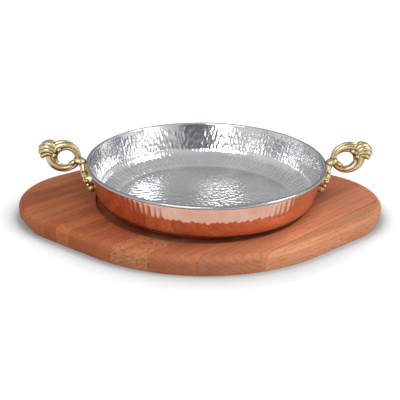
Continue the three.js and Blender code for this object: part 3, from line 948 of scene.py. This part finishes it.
def wood(name, number, dark, light, rings, pores, dull):
    """Solid wood whose grain runs along the staves, so it shows on the top and on the edge.
    The growth rings lie round an axis beside and under the stave. Its ends are a little darker, and
    at the front left end this is painted shade. The recess carries painted shade too."""
    n = Surface(name)
    dark, light = srgb(dark), srgb(light)
    shift = (0.37 * number + 0.11, 0.53 * number, 0.29 * number)

    def grain(*scale):
        """Places along the grain, across it and up, stretched, and other ones for each stave."""
        return n.place(-GRAIN, scale, shift)

    split = n.make("SeparateXYZ", Vector=n.place(-GRAIN))
    along, across, up = split.outputs
    aside, below, period = rings
    y = n.math("SUBTRACT", across, aside * MM)
    z = n.math("ADD", up, below * MM)
    away = n.math("SQRT", n.math("ADD", n.math("MULTIPLY", y, y), n.math("MULTIPLY", z, z)))
    warp = n.noise(grain(6, 40, 40), 1.0, 3)
    away = n.math("ADD", n.math("DIVIDE", away, period * MM), n.math("MULTIPLY", warp, 3.2))
    ring = n.ramp(n.math("FRACT", away), (0.0, 0.25), (0.12, 0.75), (0.6, 0.6), (0.93, 0.0))
    stripe = n.noise(grain(8, 170, 170), 1.0, 4, 0.6)
    tone = n.math("ADD", n.math("MULTIPLY", ring, 0.28), n.math("MULTIPLY", stripe, 0.8))
    middle = [(a + b) / 2 for a, b in zip(dark, light)]
    colour = n.ramp(tone, (0.3, dark), (0.54, middle), (0.78, light))

    # Painted shade toward the front left end of each stave, by its own share, and darker toward the
    # back right end
    end = n.math("ADD", n.math("DIVIDE", along, 2 * END_DARKENING_REACH * MM), 0.5)
    ends = n.ramp(end, (0.0, dull), (0.5, 1.0), (1.0, FAR_END_TONE))
    colour = n.mix(1.0, colour, ends, "MULTIPLY")
    cloud = n.noise(grain(10, 46, 60), 1.0, 4)
    clouds = n.ramp(cloud, (0.3, (0.89, 0.88, 0.87)), (0.7, (1.08, 1.08, 1.08)))
    colour = n.mix(0.75, colour, clouds, "MULTIPLY")
    fibre = n.noise(grain(70, 1300, 1300), 1.0, 3, 0.65)
    colour = n.mix(0.9, colour, n.ramp(fibre, (0.25, 0.8), (0.75, 1.14)), "MULTIPLY")
    specks = n.noise(grain(230, 1250, 1250), 1.0, 2)
    fleck = n.ramp(specks, (0.3 + 0.07 * pores, 1.0), (0.37 + 0.07 * pores, 0.0))
    pore = [c * PORE_TONE for c in dark] + [1]
    colour = n.mix(n.math("MULTIPLY", fleck, pores), colour, pore)

    # Painted shade: below the top, inside the recess, the stave takes its darker tone, darkened
    # further
    sunk = n.math("LESS_THAN", up, (BOARD_THICK - 1.2) * MM)
    inside = n.math("LESS_THAN", n.radius(split), (RECESS_RADIUS + 0.3) * MM)
    painted_recess_shade = n.math("MULTIPLY", n.math("MULTIPLY", inside, sunk), RECESS_SHADE)
    colour = n.mix(painted_recess_shade, colour, [c * RECESS_TONE for c in dark] + [1])
    rough = n.ramp(fibre, (0.3, 0.48), (0.7, 0.62))
    n.bump(n.math("ADD", fibre, n.math("MULTIPLY", ring, 0.4)), 0.16, 0.0006)
    n.shader.inputs["Specular IOR Level"].default_value = 0.14
    return n.set(Base_Color=colour, Roughness=rough)


# Pieces of the pan


def pan_pieces():
    skins = [copper(), tin()]
    part, face_skins = pan_mesh()
    pan = piece("pan", part, "pan", skins, face_skins)
    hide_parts("pan_body")
    cast_brass = brass()
    for side, turn in (("right", 0.0), ("left", math.pi)):
        place = Matrix.Translation(PAN_PLACE) @ Matrix.Rotation(turn, 4, "Z")
        handle = piece(side + "_loop", placed(handle_mesh(), place), "pan", [cast_brass])
        cast(handle)
        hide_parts(side + "_handle")
        for face in (-1, 1):
            end = "front" if face * math.cos(turn) < 0 else "back"
            part, face_skins = rivet_mesh(face)
            part = placed(part, place)
            rivet = piece(f"{side}_{end}_stud", part, "pan", skins, face_skins)
            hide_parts(f"{side}_{end}_rivet")


# Studio

FLOOR_REACH = 6.0
FLOOR_GREY = (0.34, 0.34, 0.34, 1)
# How far the floor's painted soft shadow reaches, in metres, and its glow in that shadow and in the
# clear
SHADOW_REACH = 0.09
SHADOW_LIFT, CLEAR_LIFT = 0.1, 0.79
# How much of the floor's light the metal mirrors
MIRRORED_SHARE = 0.8

# How bright the room is from the viewer's side, at 0, to the far side, at 1
ROUND_ABOUT = [
    (0.0, (0.36, 0.36, 0.37)),
    (0.12, (0.72, 0.72, 0.73)),
    (0.5, (0.8, 0.8, 0.8)),
    (0.9, (0.36, 0.36, 0.37)),
]
OVERHEAD = (0.55, 0.55, 0.55, 1)
WHITE = (1, 1, 1, 1)
# The dark doorway on the viewer's side: its direction and its colour
DARK_SIDE = (0.139, -0.975, 0.174)
DOORWAY = (0.16, 0.17, 0.19, 1)

# Each light: name, place and size in metres, power in watts, and whether the metal mirrors it
LIGHTS = [
    ("key", (0.3, -0.3, 1.6), (1.1, 0.9), 5.4, False),
    ("left_window", (-0.5, -1.3, 0.25), (0.4, 0.3), 1.4, True),
    ("right_window", (1.25, -0.75, 0.25), (0.4, 0.3), 1.1, True),
    ("right_fill", (1.25, -0.55, 0.2), (0.6, 0.3), 7, False),
    ("left_lamp", (1.14, -0.22, 0.92), (0.62, 0.46), 5.5, True),
    ("right_lamp", (-0.46, -1.1, 0.84), (1.0, 0.5), 7.5, True),
]
LIGHT_TARGET = Vector((0, 0, 0.03))

# The camera, fitted to the photograph: its place in metres, its axes, lens and sensor
CAMERA_PLACE = (-0.028558, -0.712119, 0.322780)
CAMERA_RIGHT = Vector((0.99937514, -0.03107381, 0.01684506))
CAMERA_UP = Vector((-0.00306616, 0.39856542, 0.91713478))
CAMERA_FORWARD = Vector((0.03521273, 0.91661335, -0.39822109))
LENS, SENSOR = 67.5, 36


def floor():
    """A pale floor that keeps a soft shadow. The eye and the metal see it lifted to white, less so
    near things, where this lift paints a deeper soft shadow.
    """
    n = Surface("floor")
    n.set(Base_Color=FLOOR_GREY, Roughness=0.9, Emission_Color=WHITE)
    n.shader.inputs["Specular IOR Level"].default_value = 0.0
    rays = n.make("LightPath").outputs
    mirrored = n.math("MULTIPLY", rays["Is Glossy Ray"], MIRRORED_SHARE)
    seen = n.math("MAXIMUM", rays["Is Camera Ray"], mirrored)
    seen = n.math("MAXIMUM", seen, rays["Is Transmission Ray"])
    # Painted shadow: the floor's glow is lowered where things are near, through ambient occlusion
    clear = n.make("AmbientOcclusion", {"samples": 8}, Distance=SHADOW_REACH).outputs["AO"]
    lift = n.ramp(clear, (0.62, SHADOW_LIFT), (0.96, CLEAR_LIFT))
    n.set(Emission_Strength=n.math("MULTIPLY", seen, lift))
    mesh = bpy.data.meshes.new("floor")
    corners = [(-1, -1, 0), (1, -1, 0), (1, 1, 0), (-1, 1, 0)]
    mesh.from_pydata([Vector(corner) * FLOOR_REACH for corner in corners], [], [(0, 1, 2, 3)])
    mesh.materials.append(n.material)
    obj = bpy.data.objects.new("floor", mesh)
    bpy.context.scene.collection.objects.link(obj)


def world():
    """A studio: pale behind and overhead, dimmer on the viewer's side with a dark doorway, and a
    white horizon that the eye sees and the metal sees in part."""
    made = bpy.data.worlds.new("studio")
    bpy.context.scene.world = made
    made.use_nodes = True
    n = Nodes(made.node_tree)
    coords = n.make("TexCoord").outputs["Generated"]
    split = n.make("SeparateXYZ", Vector=coords)
    across = n.math("MULTIPLY", n.math("ADD", split.outputs[1], 1.0), 0.5)
    overhead = n.ramp(split.outputs[2], (0.5, 0.0), (0.85, 1.0))
    room = n.mix(overhead, n.ramp(across, *ROUND_ABOUT), OVERHEAD)
    toward = n.make("VectorMath", {"operation": "DOT_PRODUCT"}, Vector=coords)
    toward.inputs[1].default_value = DARK_SIDE
    doorway = n.ramp(toward.outputs["Value"], (0.95, 0.0), (0.98, 1.0))
    room = n.mix(doorway, room, DOORWAY)
    rays = n.make("LightPath").outputs
    glossy = n.math("MAXIMUM", rays["Is Glossy Ray"], rays["Is Transmission Ray"])
    horizon = n.ramp(split.outputs[2], (0.02, 0.55), (0.07, 0.0))
    seen = n.math("MAXIMUM", rays["Is Camera Ray"], n.math("MULTIPLY", glossy, horizon))
    back = n.make("Background", Color=n.mix(seen, room, WHITE))
    out = n.make("OutputWorld")
    n.tree.links.new(back.outputs[0], out.inputs[0])


def softbox(name, place, size, power, mirrored):
    light = bpy.data.lights.new(name, "AREA")
    light.shape = "RECTANGLE"
    light.size, light.size_y = size
    light.energy = power
    obj = bpy.data.objects.new(name, light)
    obj.location = place
    obj.rotation_euler = (LIGHT_TARGET - Vector(place)).to_track_quat("-Z", "Y").to_euler()
    bpy.context.scene.collection.objects.link(obj)
    obj.visible_camera = False
    obj.visible_glossy = mirrored


def camera():
    data = bpy.data.cameras.new("camera")
    data.lens = LENS
    data.sensor_width = SENSOR
    obj = bpy.data.objects.new("camera", data)
    turn = Matrix((CAMERA_RIGHT, CAMERA_UP, -CAMERA_FORWARD)).transposed()
    obj.matrix_world = Matrix.Translation(CAMERA_PLACE) @ turn.to_4x4()
    bpy.context.scene.collection.objects.link(obj)
    bpy.context.scene.camera = obj


camera()
board_pieces()
pan_pieces()
floor()
world()
for light in LIGHTS:
    softbox(*light)

bpy.context.scene.view_settings.view_transform = "Standard"
